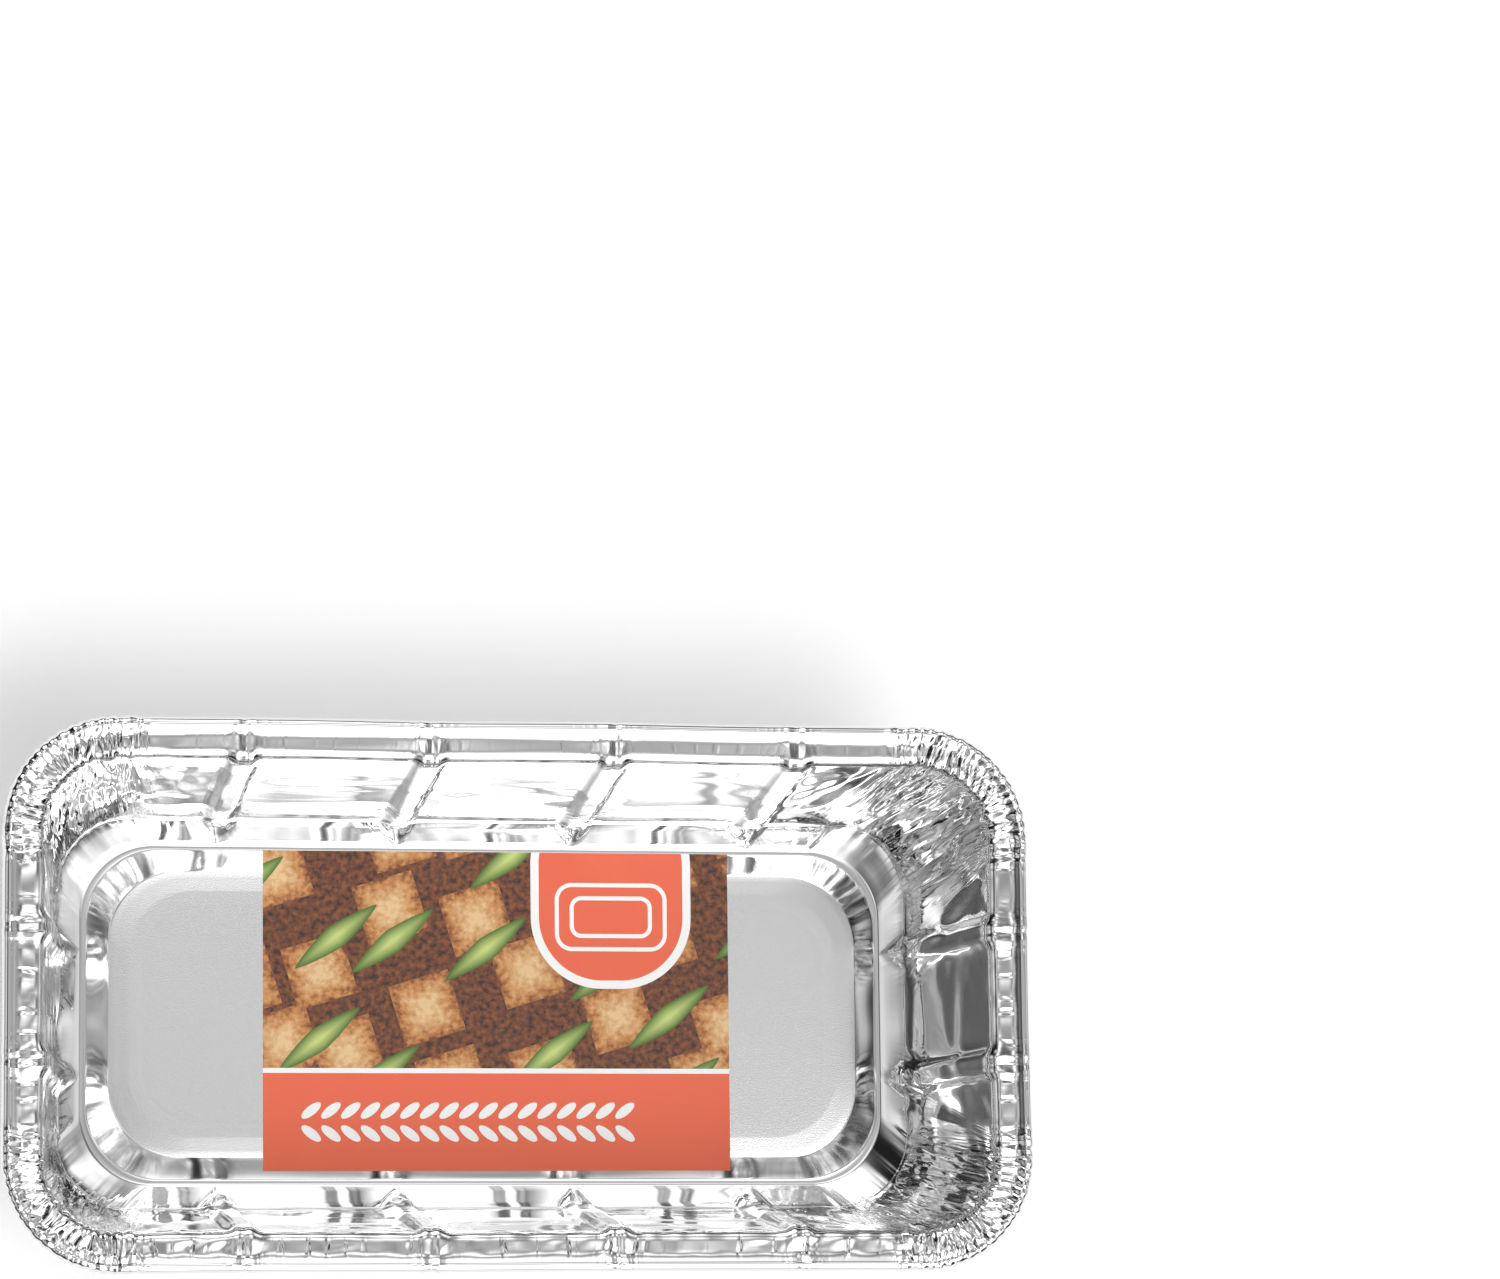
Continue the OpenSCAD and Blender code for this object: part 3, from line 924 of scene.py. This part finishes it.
for elevation, sharpness, panels in RINGS:
    for azimuth, strength in panels.items():
        centre = Matrix.Rotation(math.radians(azimuth), 3, "Z") @ Vector(
            (math.cos(math.radians(elevation)), 0, math.sin(math.radians(elevation)))
        )
        near = add_node(tree, "ShaderNodeVectorMath", {0: direction, 1: centre}, operation="DOT_PRODUCT")
        fall = add_node(
            tree, "ShaderNodeMath", {0: near.outputs["Value"], 1: sharpness, 2: -sharpness},
            operation="MULTIPLY_ADD",
        )
        glow = add_node(tree, "ShaderNodeMath", {0: fall.outputs[0]}, operation="EXPONENT")
        total = add_node(
            tree, "ShaderNodeMath", {0: glow.outputs[0], 1: strength, 2: total},
            operation="MULTIPLY_ADD",
        ).outputs[0]
# The backdrop ends between these heights, as sines of the angle over the table
BACKDROP_FULL, BACKDROP_END = 0.03, 0.1
world_rays = add_node(tree, "ShaderNodeLightPath").outputs
above = add_node(tree, "ShaderNodeSeparateXYZ", {"Vector": direction}).outputs["Z"]
backdrop = add_node(
    tree, "ShaderNodeMapRange", {"Value": above, "From Min": BACKDROP_END, "From Max": BACKDROP_FULL}
).outputs["Result"]
mirrored = add_node(
    tree, "ShaderNodeMath", {0: world_rays["Is Glossy Ray"], 1: world_rays["Is Transmission Ray"]},
    operation="ADD",
).outputs[0]
shows_backdrop = add_node(
    tree, "ShaderNodeMath", {0: mirrored, 1: backdrop, 2: world_rays["Is Camera Ray"]},
    operation="MULTIPLY_ADD", use_clamp=True,
).outputs[0]
strength = add_node(
    tree, "ShaderNodeMix", {"Factor": shows_backdrop, "A": total, "B": 1.0}, data_type="FLOAT"
).outputs["Result"]
background = add_node(tree, "ShaderNodeBackground", {"Color": [1, 1, 1, 1], "Strength": strength})
add_node(tree, "ShaderNodeOutputWorld", {"Surface": background.outputs["Background"]})
print("light panels:", sum(len(panels) for _, _, panels in RINGS))

# %% [markdown]
# The camera stands a metre and a half above the table, a little to the left and in front, where
# the near walls are seen steeply and the far ones open out. A long lens keeps the sides of the pan
# nearly parallel, as in a catalogue picture.

# %% The camera
camera_data = bpy.data.cameras.new("camera")
camera = bpy.data.objects.new("camera", camera_data)
scene.collection.objects.link(camera)
scene.camera = camera
camera_data.sensor_width = 36
camera_data.lens = 145.6
forward = Vector((0.1962, 0.1404, -0.9705)).normalized()
up = Vector((-0.0161, 0.990, 0.140))
right = forward.cross(up).normalized()
up = right.cross(forward)
camera.matrix_world = Matrix.Translation((-0.2468, -0.1272, 1.5801)) @ Matrix(
    (right, up, -forward)
).transposed().to_4x4()
print("camera:", round(camera.location.z, 2), "m above the table")
